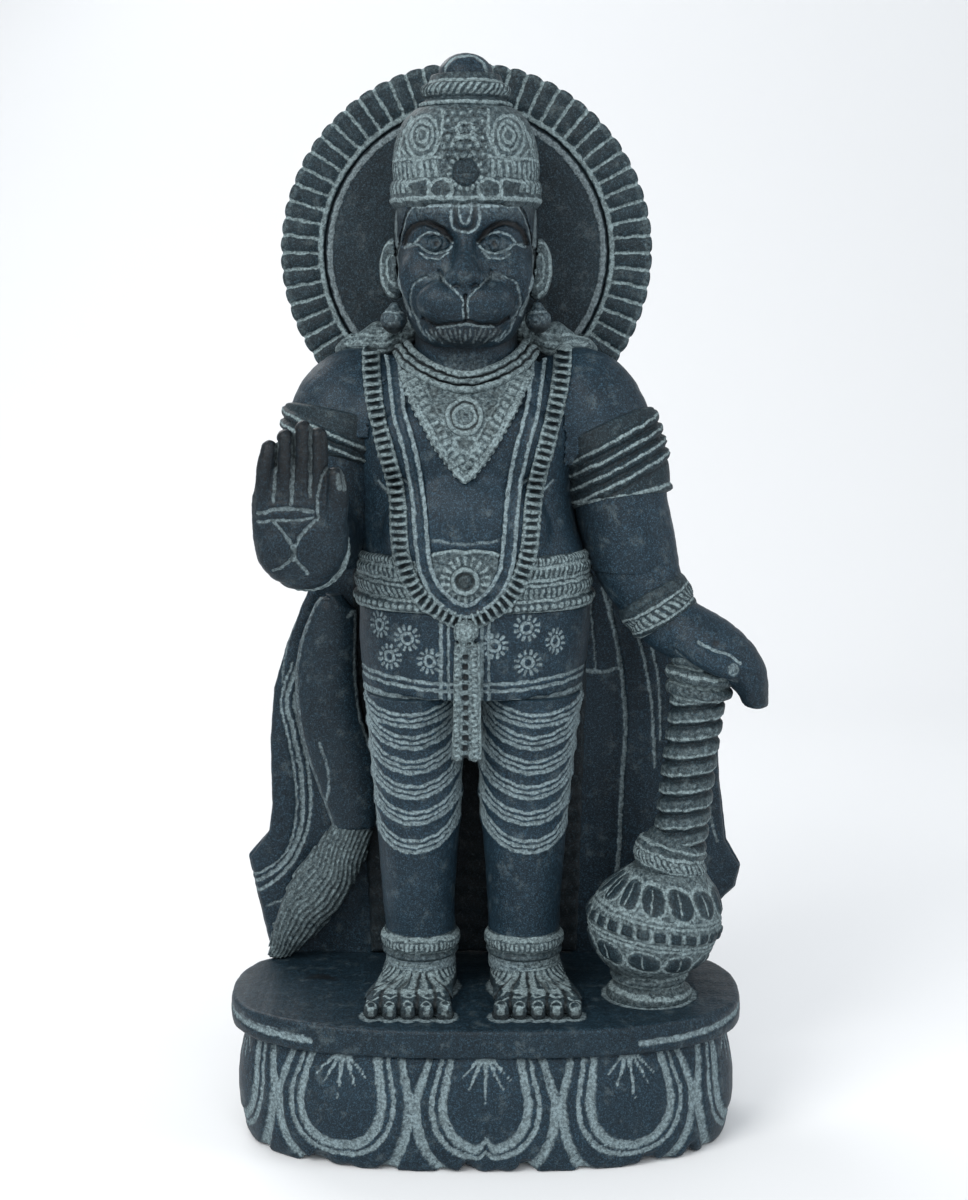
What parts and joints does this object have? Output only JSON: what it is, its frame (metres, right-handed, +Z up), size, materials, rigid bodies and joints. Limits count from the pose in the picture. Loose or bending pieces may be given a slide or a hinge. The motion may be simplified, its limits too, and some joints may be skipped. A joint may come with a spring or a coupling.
{
  "type": "stone deity statue",
  "caption": "Standing carved dark stone statue of a monkey-faced deity with raised palm, mace, round halo and lotus base.",
  "frame": {"origin": "middle of the flat underside of the lotus base", "axes": "+Z up; the figure faces -Y; the figure's right hand is on the -X side"},
  "size_m": [0.303, 0.1649, 0.6099],
  "materials": {
    "body_stone": "smooth rubbed, fine grained",
    "dark_stone": "polished dark",
    "deep_stone": "tooled, matte",
    "carved_stone": "chiselled, matte pale bruised lines"
  },
  "bodies": {
    "root": {"lotus_base": "body_stone", "plinth_slab": "dark_stone", "back_slab": "deep_stone", "halo_disc": "deep_stone", "halo_rim": "carved_stone", "waist_belt": "carved_stone", "hip_cloth": "body_stone", "torso": "body_stone", "neck": "body_stone", "head": "dark_stone", "right_ear": "carved_stone", "left_ear": "carved_stone", "right_ear_pendant": "dark_stone", "left_ear_pendant": "dark_stone", "crown_band": "carved_stone", "crown_dome": "carved_stone", "crown_ring": "carved_stone", "crown_finial": "body_stone", "right_anklet": "carved_stone", "left_anklet": "carved_stone", "right_leg": "body_stone", "left_leg": "body_stone", "right_foot": "carved_stone", "left_foot": "carved_stone", "right_armlet": "carved_stone", "right_shoulder": "body_stone", "right_upper_arm": "body_stone", "right_bangle": "carved_stone", "right_forearm": "body_stone", "right_hand": "dark_stone", "left_armlet": "carved_stone", "left_shoulder": "body_stone", "left_upper_arm": "body_stone", "left_bangle": "carved_stone", "left_forearm": "body_stone", "left_hand": "body_stone", "mace_shaft": "carved_stone", "mace_collar": "carved_stone", "mace_bulb": "carved_stone", "mace_foot": "carved_stone", "tail": "dark_stone", "tail_tuft": "carved_stone", "right_fall": "body_stone", "left_fall": "body_stone", "right_hair_lock": "carved_stone", "left_hair_lock": "carved_stone", "collar_necklace": "carved_stone", "chest_pendant": "carved_stone", "front_sash": "carved_stone", "bead_garland": "carved_stone", "smooth_band": "body_stone", "belt_medallion": "carved_stone"}
  },
  "joints": []
}
